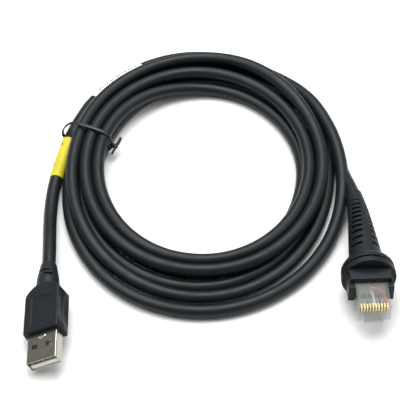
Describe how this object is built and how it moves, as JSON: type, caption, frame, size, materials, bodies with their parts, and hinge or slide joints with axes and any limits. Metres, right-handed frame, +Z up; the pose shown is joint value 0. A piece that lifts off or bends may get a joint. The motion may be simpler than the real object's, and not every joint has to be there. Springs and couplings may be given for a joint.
{
  "type": "handheld scanner interface cable",
  "caption": "Coiled interface cable of a handheld barcode scanner, with a USB plug, a latching modular plug in a slotted boot, wrap labels and a twist tie.",
  "frame": {"origin": "on the surface the cable lies on, below the middle of the box round the two connectors", "axes": "+Z up; both plugs point towards -Y and the coil lies behind them; +X from the USB plug towards the modular plug"},
  "size_m": [0.1338, 0.1595, 0.0201],
  "materials": {
    "shell": "nickel-plated sheet steel",
    "insulator": "white thermoplastic",
    "gold_contacts": "gold-plated",
    "wire_red": "insulated conductor",
    "wire_white": "insulated conductor",
    "wire_green": "insulated conductor",
    "wire_black": "insulated conductor",
    "shield": "tinned sheet steel",
    "crimp": "tinned steel",
    "pre_mould": "hard inner moulding",
    "moulded_pvc": "soft PVC, satin",
    "clear_plastic": "clear polycarbonate",
    "wire_blue": "insulated conductor",
    "cable_jacket": "soft PVC jacket, satin",
    "tie_coating": "plastic-coated wire",
    "tie_steel": "annealed steel wire",
    "yellow_vinyl": "printed vinyl wrap label",
    "white_vinyl": "printed vinyl wrap label"
  },
  "bodies": {
    "cable": {"usb_shell": "shell", "usb_insulator": "insulator", "usb_contacts": "gold_contacts", "usb_wire_red": "wire_red", "usb_wire_white": "wire_white", "usb_wire_green": "wire_green", "usb_wire_black": "wire_black", "usb_rear_shield": "shield", "usb_crimp_ring": "crimp", "usb_pre_mould": "pre_mould", "usb_overmould": "moulded_pvc", "modular_plug_body": "clear_plastic", "modular_contacts": "gold_contacts", "modular_wire_green": "wire_green", "modular_wire_blue": "wire_blue", "modular_wire_white": "wire_white", "modular_wire_black": "wire_black", "modular_wire_red": "wire_red", "scanner_crimp_ring": "crimp", "scanner_cable_core": "cable_jacket", "scanner_boot": "moulded_pvc", "cable_coil": "cable_jacket", "cable_tube_usb": "cable_jacket", "cable_tube_scanner": "cable_jacket", "twist_tie": "tie_coating", "twist_tie_wire": "tie_steel", "yellow_label": "yellow_vinyl", "white_label": "white_vinyl"},
    "latch": {"modular_latch": "clear_plastic"}
  },
  "joints": [
    {"name": "latch_press", "type": "hinge", "parent": "cable", "child": "latch", "pos_m": [0.05761, -0.02048, 0.00727], "axis": [0.999, 0.0436, 0], "range_deg": [0, 11], "stiffness_Nm_per_rad": 0.05}
  ]
}
